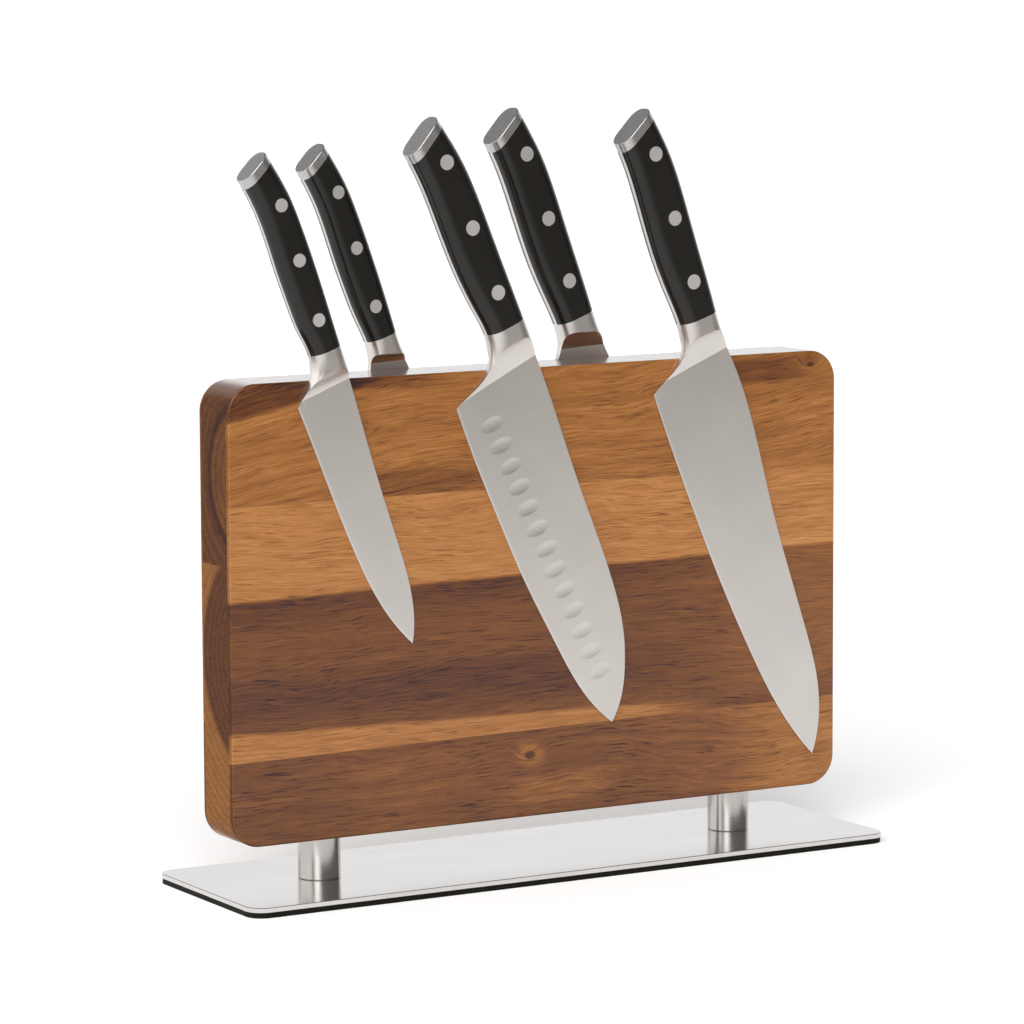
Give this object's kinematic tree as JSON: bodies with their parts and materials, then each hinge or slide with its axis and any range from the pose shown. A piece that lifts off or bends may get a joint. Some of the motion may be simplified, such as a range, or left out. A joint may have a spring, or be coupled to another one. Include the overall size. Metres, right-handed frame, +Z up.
{
  "type": "knife magnetic rack",
  "caption": "Free-standing two-sided magnetic wooden knife block on a steel base plate with posts, holding forged knives on its front and rear faces.",
  "frame": {"origin": "centre of the base's underside", "axes": "+Z up, -Y is the front face of the board with the larger set of knives, +X to the right as seen from the front"},
  "size_m": [0.3644, 0.107, 0.378],
  "materials": {
    "rubber": "black rubber sheet, matte",
    "plate_steel": "brushed stainless, satin",
    "post_steel": "brushed stainless, satin",
    "screw_steel": "plain zinc-plated steel",
    "insert_brass": "plain",
    "core_wood_dark": "oiled end grain and long grain, satin",
    "core_wood_warm": "oiled end grain and long grain, satin",
    "stave_wood_brown": "oiled, satin",
    "stave_wood_striped": "oiled, satin, light sapwood and dark heartwood",
    "stave_wood_golden": "oiled, satin",
    "magnet": "nickel-plated",
    "strip_steel": "plain mild steel",
    "blade_steel": "fine satin finish",
    "handle_black": "polished, semi-gloss",
    "rivet_steel": "ground flush with the scales",
    "cap_steel": "brushed"
  },
  "bodies": {
    "rack": {"rubber_pad": "rubber", "base_plate": "plate_steel", "post_left": "post_steel", "post_right": "post_steel", "post_screws": "screw_steel", "threaded_inserts": "insert_brass", "core_stave_lower": "core_wood_dark", "core_stave_upper": "core_wood_warm", "front_stave_bottom": "stave_wood_brown", "front_stave_middle": "stave_wood_striped", "front_stave_top": "stave_wood_golden", "rear_stave_bottom": "stave_wood_brown", "rear_stave_middle": "stave_wood_striped", "rear_stave_top": "stave_wood_golden", "front_magnets": "magnet", "rear_magnets": "magnet", "front_steel_strips": "strip_steel", "rear_steel_strips": "strip_steel"},
    "chef_knife": {"chef_knife_blade": "blade_steel", "chef_knife_outer_scale": "handle_black", "chef_knife_inner_scale": "handle_black", "chef_knife_rivets": "rivet_steel", "chef_knife_butt_cap": "cap_steel"},
    "santoku_knife": {"santoku_knife_blade": "blade_steel", "santoku_knife_outer_scale": "handle_black", "santoku_knife_inner_scale": "handle_black", "santoku_knife_rivets": "rivet_steel", "santoku_knife_butt_cap": "cap_steel"},
    "utility_knife": {"utility_knife_blade": "blade_steel", "utility_knife_outer_scale": "handle_black", "utility_knife_inner_scale": "handle_black", "utility_knife_rivets": "rivet_steel", "utility_knife_butt_cap": "cap_steel"},
    "carving_knife": {"carving_knife_blade": "blade_steel", "carving_knife_outer_scale": "handle_black", "carving_knife_inner_scale": "handle_black", "carving_knife_rivets": "rivet_steel", "carving_knife_butt_cap": "cap_steel"},
    "paring_knife": {"paring_knife_blade": "blade_steel", "paring_knife_outer_scale": "handle_black", "paring_knife_inner_scale": "handle_black", "paring_knife_rivets": "rivet_steel", "paring_knife_butt_cap": "cap_steel"}
  },
  "joints": [
    {"name": "chef_knife_lift_off", "type": "slide", "parent": "rack", "child": "chef_knife", "axis": [0, -1, 0], "range_m": [0, 0.12]},
    {"name": "santoku_knife_lift_off", "type": "slide", "parent": "rack", "child": "santoku_knife", "axis": [0, -1, 0], "range_m": [0, 0.12]},
    {"name": "utility_knife_lift_off", "type": "slide", "parent": "rack", "child": "utility_knife", "axis": [0, -1, 0], "range_m": [0, 0.12]},
    {"name": "carving_knife_lift_off", "type": "slide", "parent": "rack", "child": "carving_knife", "axis": [0, 1, 0], "range_m": [0, 0.12]},
    {"name": "paring_knife_lift_off", "type": "slide", "parent": "rack", "child": "paring_knife", "axis": [0, 1, 0], "range_m": [0, 0.12]}
  ]
}
